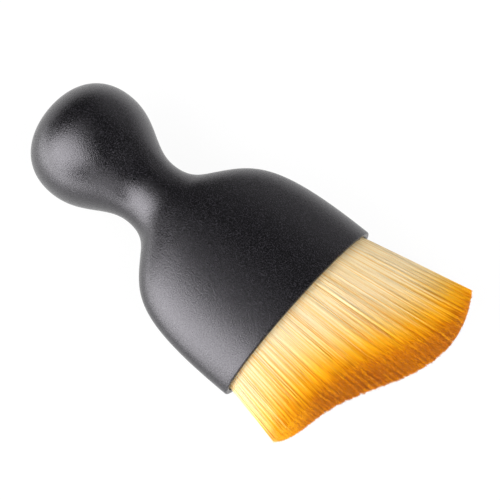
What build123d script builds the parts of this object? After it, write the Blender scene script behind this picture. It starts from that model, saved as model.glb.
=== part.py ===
from build123d import *
from math import floor, radians, tan
import os

os.makedirs("parts", exist_ok=True)

# A soft detailing brush, lying on its broad side: a ball-ended moulded handle whose oval mouth holds
# a wave-cut tuft. While it is built, x runs from the centre of the ball towards the tips, y across the
# width and z through the thickness, and the finished assembly is set down at the end. Millimetres.

# Handle: a flattened ball, a round waist and a body that widens into an oval mouth
ball_radius = 19.2
ball_back = 16.7            # centre of the ball to its flattened end
ball_fullness = 0.627       # 0.552 would make the end a true ellipse, more is squarer
ball_front_pull = 10.9      # how far the ball keeps its width towards the waist
waist_x = 24.0              # centre of the ball to the narrowest place
waist_radius = 11.1
waist_back_pull = 8.5       # length of the waist's hollow, towards the ball
waist_front_pull = 6.5      # length of the waist's hollow, towards the body
shoulder_from_waist = 10.9  # waist to the steepest place of the shoulder
shoulder_half_width = 17.5
shoulder_half_thickness = 12.9
shoulder_slope = 1.41       # rise of the half width there
shoulder_thickness_slope = 0.22
shoulder_back_pull = 2.3    # both pulls are along x
shoulder_front_pull = 7.5
mouth_from_waist = 58.8
mouth_half_width = 33.65
mouth_half_thickness = 16.4
mouth_pull = 36.0           # length of the nearly straight stretch behind the mouth
mouth_pull_thickness = 15.15  # half thickness that this stretch aims at

# Inside of the handle, drawn out through the mouth by one straight core
mouth_wall = 1.8
rim_rounding = 0.5
socket_depth = 16.0
ledge_width = 1.4           # step that carries the cup
body_wall = 3.2
core_end_from_waist = 12.0
core_pin_radius = 5.0       # blind bore that lightens the neck and the ball
core_pin_depth = 39.0       # past the end of the core

# Cup and potted root of the tuft
fit_gap = 0.15              # cup to socket wall, all round
adhesive_film = 0.3         # between the ledge and the cup
knot_depth = 8.0            # rim to the cup's lip and the top of the potted root
cup_wall = 0.8
cup_floor = 1.2
cup_lead_in = 0.4           # chamfer that guides the cup into the socket
root_gap = 0.1              # potted root to cup wall
slice_thickness = 2.0       # part of the root that the strands stand in
thread_width = 2.4
thread_thickness = 0.6
thread_above_floor = 0.8

# Strands, which fan out from the root and end on a wave
rim_gap = 0.35              # outermost strands to the inside of the rim
strand_pitch = 1.9          # at the rim
strand_root = 1.05          # side of a strand's square section
strand_tip = 0.9
strand_embedded = 0.5       # how deep a strand stands in its slice
edge_margin = 0.2           # outermost strands to the edge of the potted root
flare_width = 12.4          # degrees, outermost strands
flare_thickness = 3.0
lean = 1.4                  # degrees, towards the long side of the wave
wave_short_edge = 20.2      # strand length past the rim, across the width from -y to +y
wave_hollow = 25.2
wave_short_middle = 29.7
wave_long_middle = 37.0
wave_crest = 40.6
wave_long_edge = 35.1
end_rounding = 6.0          # the strands of the broad sides end this much short of the middle ones

mouth_x = waist_x + mouth_from_waist
ledge_x = mouth_x - socket_depth
cup_base_x = ledge_x + adhesive_film
lip_x = mouth_x - knot_depth
slice_x = lip_x - slice_thickness
core_end_x = waist_x + core_end_from_waist
socket_half_width = mouth_half_width - mouth_wall
socket_half_thickness = mouth_half_thickness - mouth_wall
pocket_half_width = socket_half_width - ledge_width
pocket_half_thickness = socket_half_thickness - ledge_width
cup_half_width = socket_half_width - fit_gap
cup_half_thickness = socket_half_thickness - fit_gap
bore_half_width = cup_half_width - cup_wall
bore_half_thickness = cup_half_thickness - cup_wall
root_half_width = bore_half_width - root_gap
root_half_thickness = bore_half_thickness - root_gap
closest_strands = 1.6 * strand_root  # between centre lines at the rim, so that square roots stay clear
body_stations = 5           # lofted sections in each half of the body
core_stations = 5


def room_at_rim(rim_half, bore_half, flare):
    """How far out the outermost strands stand at the rim, kept clear of the rim and of the cup's bore."""
    from_rim = rim_half - rim_gap
    from_bore = bore_half - root_gap - edge_margin + knot_depth * tan(radians(flare))
    return min(from_rim, from_bore) - strand_root / 2


tuft_half_width = room_at_rim(socket_half_width, bore_half_width, flare_width - abs(lean))
tuft_half_thickness = room_at_rim(socket_half_thickness, bore_half_thickness, flare_thickness)


def oval(x, half_width, half_thickness):
    """Upright ellipse round the brush's axis."""
    plane = Plane(origin=(x, 0, 0), x_dir=(0, 1, 0), z_dir=(1, 0, 0))
    return Wire(Edge.make_ellipse(half_width, half_thickness, plane=plane))


def oval_prism(x_from, x_to, half_width, half_thickness):
    return Solid.extrude(Face(oval(x_from, half_width, half_thickness)), Vector(x_to - x_from, 0, 0))


def body_rails():
    """Two cubic curves in the space of (x, half width, half thickness), from the waist to the mouth.

    Both half sizes share the same x, so one point of a rail is one section of the body.
    """
    x = waist_x + shoulder_from_waist
    back, front = shoulder_back_pull, shoulder_front_pull
    shoulder = (x, shoulder_half_width, shoulder_half_thickness)
    before = (x - back, shoulder_half_width - back * shoulder_slope,
              shoulder_half_thickness - back * shoulder_thickness_slope)
    after = (x + front, shoulder_half_width + front * shoulder_slope,
             shoulder_half_thickness + front * shoulder_thickness_slope)
    waist_end = (waist_x, waist_radius, waist_radius)
    waist_aim = (waist_x + waist_front_pull, waist_radius, waist_radius)
    mouth_aim = (mouth_x - mouth_pull, mouth_half_width, mouth_pull_thickness)
    mouth_end = (mouth_x, mouth_half_width, mouth_half_thickness)
    return Bezier(waist_end, waist_aim, before, shoulder), Bezier(shoulder, after, mouth_aim, mouth_end)


def ball_and_neck():
    """The round end, one profile turned about the axis: pole, greatest width, waist."""
    fuller = ball_fullness
    pole, top = (-ball_back, 0), (0, ball_radius)
    back = Bezier(pole, (-ball_back, fuller * ball_radius), (-fuller * ball_back, ball_radius), top)
    waist = (waist_x, waist_radius)
    front = Bezier(top, (ball_front_pull, ball_radius), (waist_x - waist_back_pull, waist_radius), waist)
    outline = Wire([back, front, Line(waist, (waist_x, 0)), Line((waist_x, 0), pole)])
    return Solid.revolve(Face(outline), 360, Axis.X)


def body():
    """The flattening body, lofted through ellipses read off the rails."""
    to_shoulder, to_mouth = body_rails()
    steps = [i / body_stations for i in range(body_stations + 1)]
    places = [to_shoulder @ t for t in steps] + [to_mouth @ t for t in steps[1:]]
    return Solid.make_loft([oval(p.X, p.Y, p.Z) for p in places])


def half_sizes(x):
    """Half width and half thickness of the body's outside at one place on the axis."""
    cut = Plane(origin=(x, 0, 0), z_dir=(1, 0, 0))
    hits = [hit for rail in body_rails() for hit in rail.intersect(cut) or []]
    return hits[0].Y, hits[0].Z


def core():
    """What the mould's core leaves: socket, pocket that follows the body, and a round-ended pin bore."""
    socket = oval_prism(ledge_x, mouth_x, socket_half_width, socket_half_thickness)
    pocket_length = ledge_x - core_end_x
    sections = [oval(ledge_x, pocket_half_width, pocket_half_thickness)]
    for i in range(core_stations - 1, -1, -1):
        x = core_end_x + pocket_length * i / core_stations
        half_width, half_thickness = half_sizes(x)
        sections.append(oval(x, half_width - body_wall, half_thickness - body_wall))
    pocket = Solid.make_loft(sections)
    pin_end_x = core_end_x - core_pin_depth
    pin_length = core_pin_depth + pocket_length / 2
    pin = Solid.make_cylinder(core_pin_radius, pin_length, Plane((pin_end_x, 0, 0), z_dir=(1, 0, 0)))
    pin_end = Solid.make_sphere(core_pin_radius).moved(Location((pin_end_x, 0, 0)))
    return [socket, pocket, pin, pin_end]


def handle():
    moulding = ball_and_neck().fuse(body()).cut(*core())
    rim = moulding.edges().filter_by(lambda edge: abs(edge.center().X - mouth_x) < 0.01)
    return moulding.fillet(rim_rounding, rim)


def cup_adhesive():
    """Flat bead on the ledge, under the cup."""
    outer = oval_prism(ledge_x, cup_base_x, cup_half_width, cup_half_thickness)
    inner = oval_prism(ledge_x, cup_base_x, pocket_half_width, pocket_half_thickness)
    return outer.cut(inner)


def tuft_cup():
    outer = oval_prism(cup_base_x, lip_x, cup_half_width, cup_half_thickness)
    bottom = outer.edges().sort_by(Axis.X)[0]
    bore = oval_prism(cup_base_x + cup_floor, lip_x, bore_half_width, bore_half_thickness)
    return outer.chamfer(cup_lead_in, None, [bottom]).cut(bore)


def binding_thread():
    """The thread's turns as one flat band, let into the potted root."""
    low = cup_base_x + cup_floor + thread_above_floor
    outer = oval_prism(low, low + thread_width, root_half_width, root_half_thickness)
    inner = oval_prism(low, low + thread_width, root_half_width - thread_thickness,
                       root_half_thickness - thread_thickness)
    return outer.cut(inner)


def potting_resin():
    plug = oval_prism(cup_base_x + cup_floor, slice_x, root_half_width, root_half_thickness)
    return plug.cut(binding_thread())


def wave(across):
    """Strand length past the rim, where across runs from -1 at the short side to 1 at the long one.

    The curve of fifth degree through the six driving lengths, which are evenly spaced.
    """
    heights = [wave_short_edge, wave_hollow, wave_short_middle, wave_long_middle, wave_crest, wave_long_edge]
    places = [-1, -0.6, -0.2, 0.2, 0.6, 1]
    total = 0
    for height, place in zip(heights, places):
        for other in places:
            if other != place:
                height *= (across - other) / (place - other)
        total += height
    return total


def strand_rings():
    """Places of the strands in the plane of the rim: ovals inside each other, one pitch apart.

    The ends of the inner ovals run together, so a strand that would stand too close is left out.
    """
    half_width, half_thickness = tuft_half_width, tuft_half_thickness
    places = []
    while half_thickness > 0:
        ring = oval(mouth_x, half_width, half_thickness)
        count = max(1, floor(ring.length / strand_pitch))
        for place in [ring @ (i / count) for i in range(count)]:
            if all((place - other).length > closest_strands for other in places):
                places.append(place)
        half_width -= strand_pitch
        half_thickness -= strand_pitch
    return places


def strand(place):
    """A square, tapering bristle. Its centre line and four edges are straight, so every side is flat."""
    across, through = place.Y / tuft_half_width, place.Z / tuft_half_thickness
    drift_y = across * tan(radians(flare_width)) + tan(radians(lean))
    drift_z = through * tan(radians(flare_thickness))
    short = end_rounding * (through ** 2 + through ** 6) / 2
    root_x, length = lip_x - strand_embedded, wave(across) - short
    taper = (strand_tip - strand_root) / (knot_depth + length)

    def corner(x, side_y, side_z):
        half = (strand_root + taper * (x - lip_x)) / 2
        past_rim = x - mouth_x
        return Vector(x, place.Y + drift_y * past_rim + side_y * half,
                      place.Z + drift_z * past_rim + side_z * half)

    square = [(-1, -1), (1, -1), (1, 1), (-1, 1)]
    step = strand_tip / 2 / tuft_half_width
    tip_x = {side: mouth_x + wave(across + side * step) - short for side in (-1, 1)}
    root = [corner(root_x, *sides) for sides in square]
    tip = [corner(tip_x[sides[0]], *sides) for sides in square]
    faces = [Face(Wire.make_polygon(root)), Face(Wire.make_polygon(tip))]
    for i in range(4):
        j = (i + 1) % 4
        faces.append(Face(Wire.make_polygon([root[i], root[j], tip[j], tip[i]])))
    return Solid(Shell(faces))


def bristle_tuft():
    root_slice = oval_prism(slice_x, lip_x, root_half_width, root_half_thickness)
    return root_slice.fuse(*[strand(place) for place in strand_rings()])


nodes = {
    "handle": handle(),
    "cup_adhesive": cup_adhesive(),
    "tuft_cup": tuft_cup(),
    "binding_thread": binding_thread(),
    "potting_resin": potting_resin(),
    "bristle_tuft": bristle_tuft(),
}

# Set the brush down: origin under the middle of its box, on the surface that it lies on
box = Compound(list(nodes.values())).bounding_box()
ground = Location((-box.center().X, -box.center().Y, -box.min.Z))
for name, solid in nodes.items():
    export_step(solid.moved(ground), f"parts/{name}.step")
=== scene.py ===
import math

import bpy
import numpy as np
from mathutils import Matrix, Vector


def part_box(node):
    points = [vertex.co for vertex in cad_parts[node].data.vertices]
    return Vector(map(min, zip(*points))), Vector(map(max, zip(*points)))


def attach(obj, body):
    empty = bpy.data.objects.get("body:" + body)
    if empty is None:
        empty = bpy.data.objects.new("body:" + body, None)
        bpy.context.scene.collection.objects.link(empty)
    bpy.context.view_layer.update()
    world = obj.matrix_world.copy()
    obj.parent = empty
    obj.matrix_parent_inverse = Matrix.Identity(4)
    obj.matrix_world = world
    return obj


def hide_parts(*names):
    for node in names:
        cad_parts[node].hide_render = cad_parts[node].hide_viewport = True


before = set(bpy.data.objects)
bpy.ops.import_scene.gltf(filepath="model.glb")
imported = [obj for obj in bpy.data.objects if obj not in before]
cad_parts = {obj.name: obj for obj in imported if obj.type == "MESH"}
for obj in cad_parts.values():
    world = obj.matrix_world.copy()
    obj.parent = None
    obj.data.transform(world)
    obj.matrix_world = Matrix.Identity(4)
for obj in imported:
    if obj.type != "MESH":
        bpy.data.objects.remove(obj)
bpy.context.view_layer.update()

# A soft detailing brush: a ball-ended black moulded handle whose oval mouth holds a wave-cut golden tuft.
# Shapes are worked out in millimetres from the centre of the ball, x towards the bristle tips, y across
# the width and z through the thickness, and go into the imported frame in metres.

MM = 0.001

# ---------------------------------------------------------------- the handle's sizes, in millimetres
# A pull is how far along x a curve runs on in its own direction, and slopes are per millimetre of x
BALL_RADIUS = 19.2
BALL_BACK = 16.7
BALL_FULLNESS = 0.627       # 0.552 would make the back of the ball a plain half ellipse
BALL_FRONT_PULL = 10.9
WAIST_X = 24.0
WAIST_RADIUS = 11.1
WAIST_BACK_PULL = 8.5
WAIST_FRONT_PULL = 6.5
SHOULDER_X = 34.9
SHOULDER_HALF_WIDTH = 17.5
SHOULDER_HALF_THICKNESS = 12.9
SHOULDER_SLOPE = 1.41
SHOULDER_THICKNESS_SLOPE = 0.22
SHOULDER_BACK_PULL = 2.3
SHOULDER_FRONT_PULL = 7.5
MOUTH_HALF_WIDTH = 33.65
MOUTH_HALF_THICKNESS = 16.4
MOUTH_PULL = 36.0
MOUTH_PULL_THICKNESS = 15.15    # the half thickness that the mouth's pull aims from
MOUTH_WALL = 1.8
RIM_ROUNDING = 0.5
RIM_BLEND = 0.2             # the last stretch of the body, which runs into the rim's rounding
SOCKET_DEPTH = 16.0
LEDGE_WIDTH = 1.4
POCKET_END_X = 36.0
POCKET_END_HALF = 9.5

# ---------------------------------------------------------------- the tuft's sizes, in millimetres
TUFT_HALF_WIDTH = 31.5
TUFT_HALF_THICKNESS = 14.25
ROOT_DEPTH = 8.0            # rim to the top of the potted root
FLARE_WIDTH = 0.219         # spread of the outermost filaments per length
FLARE_THICKNESS = 0.052
LEAN = 0.024                # the whole tuft leans a little towards its long side
WAVE_LENGTHS = (19.3, 24.3, 28.4, 35.9, 40.3, 35.0)  # past the rim, evenly spaced across the width
END_ROUNDING = 3.0          # the near and far filaments end up to this much short of the middle ones
SHORT_CORNER = 1.2          # the last filaments of the short side stand out this much
FILAMENTS = 42000
FILAMENT_RADIUS = 0.10      # coarser than the real 0.05 mm, so that single hairs show in the render
FILAMENT_BOW = 0.11         # how far a filament bends aside in its middle
ROOT_SHAKE = 0.35           # how far roots stray from an even spacing, as a share of it
EDGE_CALM = 40              # but less over the outermost 40th of the oval, and not at all at its edge
HAIR_SLOPES = (0.009, 0.006)    # spread of a single filament's own slope, across and through
LOCK_SLOPE = 0.0004         # spread of the slope that the filaments of a lock share
STRAY_SHARE = 0.004         # filaments that stand a little away from their neighbours
STRAY_SLOPE = 0.02
HAIR_RAGGEDNESS = 0.25      # how far single filaments are cut short
SHEET_RAGGEDNESS = 0.35     # how far thin sheets of filaments are cut short
END_EVENNESS = 0.8          # the share of both that is missing at the two narrow ends

# The tuft's thin sheets of filaments stand this many radians off the thickness
SHEET_SLANT = 0.285
# Ripples over the mouth: shortest and longest wave, and how many radians they swing about that slant
LOCKS = (0.5, 1.6, math.pi)
CUT_SHEETS = (0.6, 1.6, 0.03)
DYE_SHEETS = (0.7, 1.8, 0.03)
PALE_SHEETS = (0.3, 1.1, 0.015)

# ---------------------------------------------------------------- the dye of the tuft, with painted light at its ends, in millimetres
DYE_PAST_TIP = 0.7          # the line that the dye is measured from stands this far past the tips
PAINTED_PALER_ENDS = 4.5          # further past them at the two narrow ends, and again at the short one: painted light, which makes the tips paler where the tuft is thin and takes less shade, and palest at the short end, which the lamps light most
DYE_SHEET_SHIFT = 0.8       # unevenness of that line from sheet to sheet
DYE_HAIR_SHIFT = 1.5        # unevenness from filament to filament
DYE_EVEN_TIP = 6.0          # over this last stretch the latter fades away
DYE_LEAST_SHIFT = 0.1       # to this share of itself
HAIR_PALENESS = 0.7         # spread of a single filament's own tone, beside that of its sheet

PIECES_OF_TUFT = 6
BAKE_COLUMNS, BAKE_ROWS = 350, 20    # one cell of the piece's map for each of its 7000 filaments

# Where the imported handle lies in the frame
handle_low, handle_high = (np.array(corner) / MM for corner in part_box("handle"))
ball_centre = np.array([handle_low[0] + BALL_BACK, (handle_low[1] + handle_high[1]) / 2,
                        (handle_low[2] + handle_high[2]) / 2])
mouth_x = handle_high[0] - ball_centre[0]

# One seeded source for every random draw, so that each run gives the same brush
rng = np.random.default_rng(11)


# ---------------------------------------------------------------- meshes
def mesh_piece(name, vertices, quads, triangles):
    """One smooth-shaded object from whole arrays: vertices in millimetres from the ball's centre, and its
    quads and triangles.
    """
    places = (vertices + ball_centre) * MM
    corners = np.concatenate([quads.ravel(), triangles.ravel()]).astype(np.int32)
    starts = np.concatenate([np.arange(len(quads)) * 4, len(quads) * 4 + np.arange(len(triangles)) * 3])
    mesh = bpy.data.meshes.new(name)
    mesh.vertices.add(len(places))
    mesh.vertices.foreach_set("co", places.astype(np.float32).ravel())
    mesh.loops.add(len(corners))
    mesh.loops.foreach_set("vertex_index", corners)
    mesh.polygons.add(len(starts))
    mesh.polygons.foreach_set("loop_start", starts.astype(np.int32))
    mesh.polygons.foreach_set("use_smooth", np.full(len(starts), True))
    mesh.update(calc_edges=True)
    mesh.validate()
    piece = bpy.data.objects.new(name, mesh)
    bpy.context.scene.collection.objects.link(piece)
    return piece


def point_attribute(piece, name, values):
    """A number for each vertex, which a material reads by its name."""
    piece.data.attributes.new(name, "FLOAT", "POINT").data.foreach_set("value", values.astype(np.float32))


def bezier(points, count):
    """Cubic Bezier curve: rows of the four control points blended by (1-t)^3, 3(1-t)^2 t, 3(1-t) t^2, t^3."""
    t = np.linspace(0, 1, count)[:, None]
    a, b, c, d = np.array(points, float)
    return (1 - t) ** 3 * a + 3 * (1 - t) ** 2 * t * b + 3 * (1 - t) * t ** 2 * c + t ** 3 * d


def handle_sections():
    """The oval sections of the moulding, rows of (x, half width, half thickness), from the pole of the ball
    over the waist and the body to the rim, and back inside the mouth to the end of the pocket.
    """
    full = BALL_FULLNESS
    back = bezier([(-BALL_BACK, 0, 0), (-BALL_BACK, full * BALL_RADIUS, full * BALL_RADIUS),
                   (-full * BALL_BACK, BALL_RADIUS, BALL_RADIUS), (0, BALL_RADIUS, BALL_RADIUS)], 40)
    front = bezier([(0, BALL_RADIUS, BALL_RADIUS), (BALL_FRONT_PULL, BALL_RADIUS, BALL_RADIUS),
                    (WAIST_X - WAIST_BACK_PULL, WAIST_RADIUS, WAIST_RADIUS),
                    (WAIST_X, WAIST_RADIUS, WAIST_RADIUS)], 32)
    shoulder = np.array([SHOULDER_X, SHOULDER_HALF_WIDTH, SHOULDER_HALF_THICKNESS])
    slope = np.array([1, SHOULDER_SLOPE, SHOULDER_THICKNESS_SLOPE])
    rise = bezier([(WAIST_X, WAIST_RADIUS, WAIST_RADIUS),
                   (WAIST_X + WAIST_FRONT_PULL, WAIST_RADIUS, WAIST_RADIUS),
                   shoulder - SHOULDER_BACK_PULL * slope, shoulder], 24)
    mouth = np.array([mouth_x, MOUTH_HALF_WIDTH, MOUTH_HALF_THICKNESS])
    body = bezier([shoulder, shoulder + SHOULDER_FRONT_PULL * slope,
                   (mouth_x - MOUTH_PULL, MOUTH_HALF_WIDTH, MOUTH_PULL_THICKNESS), mouth], 60)
    body = body[body[:, 0] < mouth_x - RIM_ROUNDING - RIM_BLEND]
    turn = np.linspace(0, math.pi / 2, 7)[:, None]
    into = RIM_ROUNDING * np.hstack([np.sin(turn) - 1, np.cos(turn) - 1, np.cos(turn) - 1])
    outer_rim = mouth + into
    inside = mouth - [0, MOUTH_WALL, MOUTH_WALL]
    inner_rim = (inside + into * [1, -1, -1])[::-1]
    ledge = inside - [SOCKET_DEPTH, 0, 0]
    pocket = ledge - [0, LEDGE_WIDTH, LEDGE_WIDTH]
    pocket_end = np.array([POCKET_END_X, POCKET_END_HALF, POCKET_END_HALF])
    return np.vstack([back, front[1:], rise[1:], body[1:], outer_rim, inner_rim, ledge, pocket, pocket_end,
                      pocket_end * [1, 0, 0]])


def oval_surface(name, sections, around):
    """Closed skin through oval sections. At angle q, a section's point is (x, half width times cos q, half
    thickness times sin q). The first and the last section are single points, the poles.
    """
    turn = np.arange(around) * 2 * math.pi / around
    rings = sections[1:-1, :, None]
    x = np.broadcast_to(rings[:, 0], (len(rings), around))
    grid = np.stack([x, rings[:, 1] * np.cos(turn), rings[:, 2] * np.sin(turn)], axis=-1)
    poles = sections[[0, -1]] * [1, 0, 0]
    vertices = np.vstack([grid.reshape(-1, 3), poles])
    index = np.arange(len(rings) * around).reshape(len(rings), around)
    beside = np.roll(index, -1, axis=1)
    quads = np.stack([index[:-1], beside[:-1], beside[1:], index[1:]], axis=-1).reshape(-1, 4)
    first_pole, last_pole = len(vertices) - 2, len(vertices) - 1
    fan_back = np.stack([np.full(around, first_pole), beside[0], index[0]], axis=-1)
    fan_front = np.stack([np.full(around, last_pole), index[-1], beside[-1]], axis=-1)
    return mesh_piece(name, vertices, quads, np.vstack([fan_back, fan_front]))


# ---------------------------------------------------------------- the tuft
def wave(across):
    """Filament length past the rim: the curve of fifth degree through WAVE_LENGTHS, from -1 to 1 across."""
    places = np.linspace(-1, 1, len(WAVE_LENGTHS))
    return np.polyval(np.polyfit(places, WAVE_LENGTHS, len(places) - 1), across)


def ripple(y, z, shortest, longest, swing):
    """A smooth random field over the mouth: the sum of 60 cosine waves of random length and phase, whose
    directions swing about SHEET_SLANT. It is scaled to a spread of one.
    """
    count = 60
    heading = SHEET_SLANT + swing * rng.uniform(-1, 1, count)
    number = 2 * math.pi / rng.uniform(shortest, longest, count)
    phase = rng.uniform(0, 2 * math.pi, count)
    waves = np.cos(np.outer(y, number * np.cos(heading)) + np.outer(z, number * np.sin(heading)) + phase)
    return waves.sum(axis=1) * math.sqrt(2 / count)


def tuft_filaments():
    """Places across, roots, tips, bends and tones of all filaments, and the line that the dye of each is
    measured from.

    The roots lie on a sunflower spiral, radius sqrt(i/n) at i golden angles, stretched to the mouth's oval
    and shaken a little. A filament is straight from the potted root to its tip, apart from a slight bend,
    and leans outwards in proportion to its place, so that the tuft fans out. Neighbours lean together in
    small locks. The cut, the dye and the tone are uneven in thin sheets of filaments.
    """
    number = np.arange(FILAMENTS)
    spread = np.sqrt((number + 0.5) / FILAMENTS)
    golden = number * math.pi * (3 - math.sqrt(5))
    spacing = math.sqrt(math.pi * TUFT_HALF_WIDTH * TUFT_HALF_THICKNESS / FILAMENTS)
    shake = rng.normal(0, ROOT_SHAKE * spacing, (FILAMENTS, 2))
    shake *= np.minimum(1, (1 - spread[:, None]) * EDGE_CALM)
    across = spread * np.cos(golden)
    through = spread * np.sin(golden)
    y = across * (TUFT_HALF_WIDTH - FILAMENT_RADIUS) + shake[:, 0]
    z = through * (TUFT_HALF_THICKNESS - FILAMENT_RADIUS) + shake[:, 1]
    # Towards the broad sides each filament falls short by half to all of the rounding
    rounding = END_ROUNDING * rng.uniform(0.5, 1, FILAMENTS) * (through ** 2 + through ** 6) / 2
    corner = SHORT_CORNER * np.maximum(-across, 0) ** 16
    ragged = rng.exponential(HAIR_RAGGEDNESS, FILAMENTS)
    ragged += SHEET_RAGGEDNESS * np.abs(ripple(y, z, *CUT_SHEETS))
    length = wave(across) + corner - rounding - ragged * (1 - END_EVENNESS * across ** 4)
    lock_y = LOCK_SLOPE * ripple(y, z, *LOCKS) + rng.normal(0, HAIR_SLOPES[0], FILAMENTS)
    lock_z = LOCK_SLOPE * ripple(y, z, *LOCKS) + rng.normal(0, HAIR_SLOPES[1], FILAMENTS)
    stray = rng.uniform(0, 1, FILAMENTS) < STRAY_SHARE
    lock_y += stray * rng.normal(0, STRAY_SLOPE, FILAMENTS)
    lock_z += stray * rng.normal(0, STRAY_SLOPE, FILAMENTS)
    slope_y = across * FLARE_WIDTH + LEAN + lock_y
    slope_z = through * FLARE_THICKNESS + lock_z
    tip = np.stack([mouth_x + length, y + slope_y * length, z + slope_z * length], axis=-1)
    root = np.stack([np.full(FILAMENTS, mouth_x - ROOT_DEPTH),
                     y - across * FLARE_WIDTH * ROOT_DEPTH,
                     z - through * FLARE_THICKNESS * ROOT_DEPTH], axis=-1)
    bend = rng.normal(0, FILAMENT_BOW, (FILAMENTS, 2))
    paleness = ripple(y, z, *PALE_SHEETS) + rng.normal(0, HAIR_PALENESS, FILAMENTS)
    # The dye's line, standing off the narrow ends, where the tips are painted paler as light
    dip = dip_line_and_painted_ends(across) + DYE_SHEET_SHIFT * ripple(y, z, *DYE_SHEETS)
    return across, root, tip, bend, paleness, dip


def dip_line_and_painted_ends(across):
    """The line past the rim that the dye is measured from: it follows the wave, and stands off the ends.
    Standing off the ends is painted light: it makes the tips paler at the thin narrow ends, as less shade,
    and paler again at the short end, which the lamps light most.
    """
    painted_paler_ends = PAINTED_PALER_ENDS * across ** 6
    painted_paler_short_end = PAINTED_PALER_ENDS * np.maximum(-across, 0) ** 4
    return wave(across) + DYE_PAST_TIP + painted_paler_ends + painted_paler_short_end


def filament_map(piece, count, share, sides):
    """A map with a cell for each filament, its root at the foot of the cell and its tip at the head. The
    sides of a filament lie on each other, since they are coloured alike.
    """
    number = np.arange(count)
    left = (number % BAKE_COLUMNS) / BAKE_COLUMNS
    foot = (number // BAKE_COLUMNS) / BAKE_ROWS
    wide, high, margin = 1 / BAKE_COLUMNS, 1 / BAKE_ROWS, 0.02
    ring_height = foot[:, None] + high * (margin + (1 - 2 * margin) * share)
    low, top = ring_height[:, :-1], ring_height[:, 1:]
    u = left[:, None, None] + wide * np.array([0, 1, 1, 0])
    v = np.stack([low, low, top, top], axis=-1)
    sheet = np.stack([np.broadcast_to(u, v.shape), v], axis=-1)
    sheet = np.repeat(sheet[:, :, None], sides, axis=2).reshape(-1, 2)
    cap_u = left[:, None] + wide * np.array([0, 1, 0.5])
    cap_v = np.array([0, 0, margin]) * high
    root_cap = np.stack([cap_u, foot[:, None] + cap_v], axis=-1)
    tip_cap = np.stack([cap_u, foot[:, None] + high - cap_v], axis=-1)
    places = np.vstack([sheet, root_cap.reshape(-1, 2), tip_cap.reshape(-1, 2)])
    piece.data.uv_layers.new(name="OFBake").data.foreach_set("uv", places.astype(np.float32).ravel())


def filament_piece(name, root, tip, bend, paleness, dip):
    """Three-sided tapering rods. A ring of a filament lies a share t of the way from root to tip, pushed
    aside by its bend times 4t(1-t), with corners 120 degrees apart round the x axis. Both ends are closed.
    """
    share = np.array([0, 0.25, 0.55, 0.82, 1.0])
    girth = np.array([1, 1, 0.95, 0.85, 0.6]) * FILAMENT_RADIUS
    count, rings, sides = len(root), len(share), 3
    middle = root[:, None] + (tip - root)[:, None] * share[:, None]
    bow = 4 * share * (1 - share)
    middle[:, :, 1:] += bend[:, None, :] * bow[:, None]
    twist = rng.uniform(0, 2 * math.pi, count)[:, None] + np.arange(sides) * 2 * math.pi / sides
    corner = np.stack([0 * twist, np.cos(twist), np.sin(twist)], axis=-1)
    vertices = middle[:, :, None] + corner[:, None] * girth[None, :, None, None]
    index = np.arange(count * rings * sides).reshape(count, rings, sides)
    beside = np.roll(index, -1, axis=2)
    quads = np.stack([index[:, :-1], beside[:, :-1], beside[:, 1:], index[:, 1:]], axis=-1).reshape(-1, 4)
    ends = np.vstack([index[:, 0, ::-1], index[:, -1]])
    piece = mesh_piece(name, vertices.reshape(-1, 3), quads, ends)
    filament_map(piece, count, share, sides)
    # How far short of the dye's line each ring lies, and so with the painted paler ends
    above_dip_and_painted_ends = dip[:, None] - (middle[:, :, 0] - mouth_x)
    # Single filaments took up the dye unevenly, and hardly so in the last few millimetres
    uneven = np.clip(above_dip_and_painted_ends / DYE_EVEN_TIP, DYE_LEAST_SHIFT, 1)
    above_dip_and_painted_ends += DYE_HAIR_SHIFT * paleness[:, None] * uneven
    point_attribute(piece, "above_dip_and_painted_ends", np.repeat(above_dip_and_painted_ends.ravel(), sides))
    point_attribute(piece, "paleness", np.repeat(paleness, rings * sides))
    return piece


# ---------------------------------------------------------------- materials
def linear(hex_colour):
    """sRGB hex, such as 1c1c1e, to linear RGBA."""
    parts = [int(hex_colour[i:i + 2], 16) / 255 for i in (0, 2, 4)]
    return (*[p / 12.92 if p <= 0.04045 else ((p + 0.055) / 1.055) ** 2.4 for p in parts], 1.0)


def add(tree, kind, settings=None, inputs=None, links=None):
    """One node of a kind, with its settings, its input values and the output socket that feeds each input."""
    node = tree.nodes.new(kind)
    for name, value in (settings or {}).items():
        setattr(node, name, value)
    for name, value in (inputs or {}).items():
        node.inputs[name].default_value = value
    for name, socket in (links or {}).items():
        tree.links.new(socket, node.inputs[name])
    return node


def new_material(name):
    """A material without nodes yet, and its node tree."""
    material = bpy.data.materials.new(name)
    material.use_nodes = True
    material.node_tree.nodes.clear()
    return material, material.node_tree


def stops(ramp, colours):
    """Sets a Color Ramp to places and linear colours, in order."""
    elements = ramp.color_ramp.elements
    while len(elements) < len(colours):
        elements.new(1.0)
    for element, (place, colour) in zip(elements, colours):
        element.position = place
        element.color = colour


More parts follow.
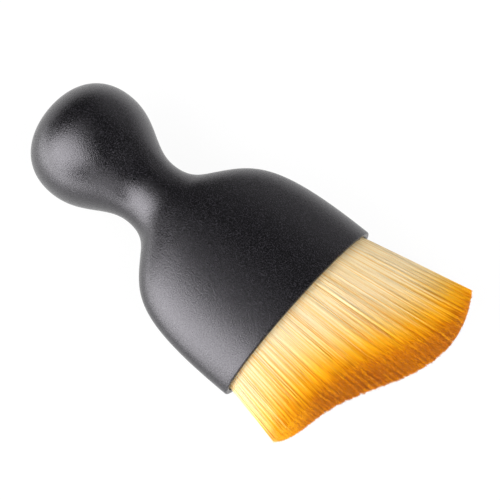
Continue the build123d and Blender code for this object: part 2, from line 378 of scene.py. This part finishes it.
def black_grained_abs():
    """Black ABS moulded against a spark-eroded tool: a matt skin of fine pits with a soft broad sheen.

    The real pits are about 0.1 mm wide. They are drawn coarser, so that the grain shows in the render. Their
    colour is painted lighter on the raised grain and darker in the pits, as glints and shade.
    """
    material, tree = new_material("black_grained_abs")
    grain_mm = 0.36
    pit_depth_mm = 0.10
    where = add(tree, "ShaderNodeTexCoord").outputs["Object"]
    pits = add(tree, "ShaderNodeTexNoise",
               inputs={"Scale": 1 / (grain_mm * MM), "Detail": 2.0, "Roughness": 0.6},
               links={"Vector": where})
    # The colour rises with the grain's height: near-black in the pits and dark grey on the raised grain.
    # Beside the plastic's own near-black mottle, this is painted shade in the pits and painted glints on the
    # peaks.
    colour = add(tree, "ShaderNodeValToRGB", links={"Fac": pits.outputs["Fac"]})
    stops(colour, [(0.40, linear("030304")), (0.54, linear("09090b")), (0.70, linear("2a282d"))])
    rough = add(tree, "ShaderNodeMapRange",
                inputs={"From Min": 0.3, "From Max": 0.7, "To Min": 0.18, "To Max": 0.34},
                links={"Value": pits.outputs["Fac"]})
    bump = add(tree, "ShaderNodeBump", inputs={"Strength": 1.0, "Distance": pit_depth_mm * MM},
               links={"Height": pits.outputs["Fac"]})
    plastic = add(tree, "ShaderNodeBsdfPrincipled",
                  inputs={"IOR": 1.53, "Specular IOR Level": 0.7, "Specular Tint": linear("fbf7ff")},
                  links={"Base Color": colour.outputs["Color"], "Roughness": rough.outputs["Result"],
                         "Normal": bump.outputs["Normal"]})
    add(tree, "ShaderNodeOutputMaterial", links={"Surface": plastic.outputs["BSDF"]})
    return material


def golden_filament():
    """Drawn nylon filament: cream at the root and dip-dyed gold to brown at the tip, in streaks, with a
    little light through each hair and a soft gloss along it.
    """
    material, tree = new_material("golden_filament")
    above_dip_and_painted_ends = add(tree, "ShaderNodeAttribute", {"attribute_name": "above_dip_and_painted_ends"}).outputs["Fac"]
    paleness = add(tree, "ShaderNodeAttribute", {"attribute_name": "paleness"}).outputs["Fac"]
    # The colours are set out from 3 mm past the dye's line to 30 mm short of it
    share = add(tree, "ShaderNodeMapRange", inputs={"From Min": -3.0, "From Max": 30.0},
                links={"Value": above_dip_and_painted_ends})
    dye = add(tree, "ShaderNodeValToRGB", links={"Fac": share.outputs["Result"]})
    stops(dye, [(0.0, linear("864000")), (0.09, linear("a65800")), (0.17, linear("e08a02")),
                (0.25, linear("ffb60c")), (0.37, linear("ffc62e")), (0.51, linear("ffd97a")),
                (0.66, linear("ffe6aa")), (0.86, linear("ffeec8"))])
    # The tones are set out from 2 spreads below the middle one to 1.5 above it
    streak = add(tree, "ShaderNodeMapRange", inputs={"From Min": -2.0, "From Max": 1.5},
                 links={"Value": paleness})
    tone = add(tree, "ShaderNodeValToRGB", links={"Fac": streak.outputs["Result"]})
    stops(tone, [(0.0, linear("f3d28e")), (0.3, linear("fbebc5")), (0.65, linear("ffffff"))])
    toned = add(tree, "ShaderNodeVectorMath", {"operation": "MULTIPLY"},
                links={0: dye.outputs["Color"], 1: tone.outputs["Color"]})
    body = add(tree, "ShaderNodeBsdfPrincipled",
               inputs={"Roughness": 0.4, "IOR": 1.5, "Specular IOR Level": 0.25,
                       "Specular Tint": linear("fff0c8")},
               links={"Base Color": toned.outputs["Vector"]})
    glow = add(tree, "ShaderNodeBsdfTranslucent", links={"Color": toned.outputs["Vector"]})
    glow_share = 0.12
    mixed = add(tree, "ShaderNodeMixShader", inputs={0: glow_share},
                links={1: body.outputs["BSDF"], 2: glow.outputs["BSDF"]})
    add(tree, "ShaderNodeOutputMaterial", links={"Surface": mixed.outputs["Shader"]})
    return material


def hidden_finish(name, low, high, roughness, grain_mm):
    """A hidden inner part: two close tones of its own colour, mottled at a size in millimetres."""
    material, tree = new_material(name)
    where = add(tree, "ShaderNodeTexCoord").outputs["Object"]
    grain = add(tree, "ShaderNodeTexNoise", inputs={"Scale": 1 / (grain_mm * MM), "Detail": 3.0},
                links={"Vector": where})
    colour = add(tree, "ShaderNodeValToRGB", links={"Fac": grain.outputs["Fac"]})
    stops(colour, [(0.3, linear(low)), (0.7, linear(high))])
    surface = add(tree, "ShaderNodeBsdfPrincipled", inputs={"Roughness": roughness},
                  links={"Base Color": colour.outputs["Color"]})
    add(tree, "ShaderNodeOutputMaterial", links={"Surface": surface.outputs["BSDF"]})
    return material


def paint(piece, material):
    """Gives a piece this material alone."""
    piece.data.materials.clear()
    piece.data.materials.append(material)


# ---------------------------------------------------------------- the brush
handle = oval_surface("moulded_handle", handle_sections(), 240)
paint(handle, black_grained_abs())
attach(handle, "root")
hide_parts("handle")

# The tuft is cut into slices across its width, since one piece would have too many faces
filament = golden_filament()
across, *filament_facts = tuft_filaments()
for k, chosen in enumerate(np.array_split(np.argsort(across), PIECES_OF_TUFT)):
    tuft_slice = filament_piece(f"filaments_{k + 1}", *(fact[chosen] for fact in filament_facts))
    paint(tuft_slice, filament)
    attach(tuft_slice, "root")
    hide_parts("bristle_tuft")

inner_parts = {
    # Injection-moulded, dull black with a slight haze
    "tuft_cup": hidden_finish("black_polypropylene", "101012", "1c1c1f", 0.5, 0.8),
    # Cast round the roots, amber and glossy, with faint clouds
    "potting_resin": hidden_finish("amber_epoxy", "8a5a22", "a87434", 0.25, 2.0),
    # Spun and waxed, straw-coloured and dull, with a fine mottle
    "binding_thread": hidden_finish("waxed_polyester_thread", "c9b58c", "e4d6b4", 0.8, 0.4),
    # Laid as a molten bead, milky and half glossy
    "cup_adhesive": hidden_finish("hot_melt_adhesive", "d8cfae", "ece6cd", 0.35, 1.5),
}
for node, material in inner_parts.items():
    paint(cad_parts[node], material)

# ---------------------------------------------------------------- camera, at the photograph's angle
ROLL = math.radians(-17.61)     # of the brush about its long axis
TILT = math.radians(11.0)       # of the camera towards the tips
TURN = math.radians(39.11)      # of the long axis in the picture, clockwise from the right
VIEW_MIDDLE = (48.54, 32.11)    # right of and below the ball's centre, millimetres in the picture's plane
VIEW_SIDE = 153.0               # millimetres that the picture spans
CAMERA_DISTANCE = 1.2
SENSOR = 36.0

along = Vector((math.cos(TILT), -math.sin(TILT) * math.sin(ROLL), -math.sin(TILT) * math.cos(ROLL)))
beside = Vector((0, -math.cos(ROLL), math.sin(ROLL)))
right = math.cos(TURN) * along - math.sin(TURN) * beside
up = -(math.sin(TURN) * along + math.cos(TURN) * beside)
towards = right.cross(up)
middle = Vector(ball_centre * MM) + (right * VIEW_MIDDLE[0] - up * VIEW_MIDDLE[1]) * MM


def aim(thing, place, x_axis, y_axis):
    """Stands a camera or lamp at a place, with its own x and y axes along two directions."""
    z_axis = x_axis.cross(y_axis)
    thing.matrix_world = Matrix.Translation(place) @ Matrix((x_axis, y_axis, z_axis)).transposed().to_4x4()


camera_data = bpy.data.cameras.new("camera")
camera_data.sensor_width = SENSOR
camera_data.lens = SENSOR * CAMERA_DISTANCE / (VIEW_SIDE * MM)
camera_data.clip_start = 0.01
camera = bpy.data.objects.new("camera", camera_data)
bpy.context.scene.collection.objects.link(camera)
aim(camera, middle + towards * CAMERA_DISTANCE, right, up)
bpy.context.scene.camera = camera


# ---------------------------------------------------------------- studio
def softbox(name, azimuth, elevation, distance, width, height, radiance, target):
    """A rectangular lamp that faces the target from a direction in degrees, with an even radiance."""
    turn, rise = math.radians(azimuth), math.radians(elevation)
    out = Vector((math.cos(turn) * math.cos(rise), math.sin(turn) * math.cos(rise), math.sin(rise)))
    sideways = Vector((-math.sin(turn), math.cos(turn), 0))
    data = bpy.data.lights.new(name, "AREA")
    data.shape = "RECTANGLE"
    data.size, data.size_y = width, height
    data.energy = radiance * math.pi * width * height
    lamp = bpy.data.objects.new(name, data)
    bpy.context.scene.collection.objects.link(lamp)
    aim(lamp, target + out * distance, sideways, out.cross(sideways))
    lamp.visible_camera = False
    return lamp


def floor_card(name, azimuth, distance, across, deep, radiance):
    """A low lamp that lies on the table beside the brush and shines upwards, as a lit white card does."""
    turn = math.radians(azimuth)
    out = Vector((math.cos(turn), math.sin(turn), 0))
    sideways = Vector((-math.sin(turn), math.cos(turn), 0))
    above_table = Vector((0, 0, 0.002))
    lamp = softbox(name, azimuth, 0, distance, across, deep, radiance, above_table)
    aim(lamp, out * distance + above_table, sideways, out)
    return lamp


# Each lamp's azimuth and elevation in degrees, distance, width and height in metres, and radiance
centre = Vector((0, 0, 0.02))
softbox("key_low", -114, 14, 0.7, 0.60, 0.32, 7.2, centre)
softbox("key_high", -106, 43, 0.8, 0.90, 0.46, 5.4, centre)
softbox("left_wing", -146, 14, 0.7, 0.22, 0.32, 2.2, centre)
softbox("top_left", -145, 68, 0.8, 0.50, 0.40, 0.8, centre)
softbox("front_fill", -46, 8, 0.7, 0.50, 0.44, 1.8, centre)
fill = softbox("right_fill", 15, 50, 0.8, 0.90, 0.70, 4.0, centre)
fill.visible_glossy = False     # an even light that leaves no second highlight on the ball
softbox("end_fill", 10, 18, 0.7, 0.50, 0.25, 1.4, centre)
softbox("back_fill", 95, 25, 0.8, 0.90, 0.40, 0.4, centre)
# It lies flat, so it has no elevation
floor_card("floor_card", -112, 0.19, 0.30, 0.20, 4.6)


def studio_world():
    """White to the camera, and a dim studio to everything else."""
    world = bpy.data.worlds.new("studio")
    world.use_nodes = True
    tree = world.node_tree
    tree.nodes.clear()
    path = add(tree, "ShaderNodeLightPath")
    dim = add(tree, "ShaderNodeBackground", inputs={"Color": linear("ffffff"), "Strength": 0.09})
    white = add(tree, "ShaderNodeBackground", inputs={"Color": linear("ffffff"), "Strength": 1.0})
    mixed = add(tree, "ShaderNodeMixShader",
                links={0: path.outputs["Is Camera Ray"], 1: dim.outputs["Background"],
                       2: white.outputs["Background"]})
    add(tree, "ShaderNodeOutputWorld", links={"Surface": mixed.outputs["Shader"]})
    bpy.context.scene.world = world


def white_table():
    """White matt laminate: almost plain white to all but diffuse rays, and it keeps a faint shadow."""
    plain_share = 0.92
    half = 3.0
    corners = np.array([(-half, -half, 0), (half, -half, 0), (half, half, 0), (-half, half, 0)]) / MM
    table = mesh_piece("table", corners - ball_centre, np.array([[0, 1, 2, 3]]), np.zeros((0, 3), int))
    material, tree = new_material("white_laminate")
    path = add(tree, "ShaderNodeLightPath")
    seen = add(tree, "ShaderNodeMath", {"operation": "MAXIMUM"},
               links={0: path.outputs["Is Camera Ray"], 1: path.outputs["Is Glossy Ray"]})
    seen = add(tree, "ShaderNodeMath", {"operation": "MAXIMUM"},
               links={0: seen.outputs["Value"], 1: path.outputs["Is Transmission Ray"]})
    share = add(tree, "ShaderNodeMath", {"operation": "MULTIPLY"}, {1: plain_share},
                {0: seen.outputs["Value"]})
    matt = add(tree, "ShaderNodeBsdfDiffuse", inputs={"Color": linear("f2f2f2")})
    white = add(tree, "ShaderNodeEmission", inputs={"Color": linear("ffffff"), "Strength": 1.0})
    mixed = add(tree, "ShaderNodeMixShader",
                links={0: share.outputs["Value"], 1: matt.outputs["BSDF"], 2: white.outputs["Emission"]})
    add(tree, "ShaderNodeOutputMaterial", links={"Surface": mixed.outputs["Shader"]})
    paint(table, material)


studio_world()
white_table()
bpy.context.scene.view_settings.view_transform = "Standard"
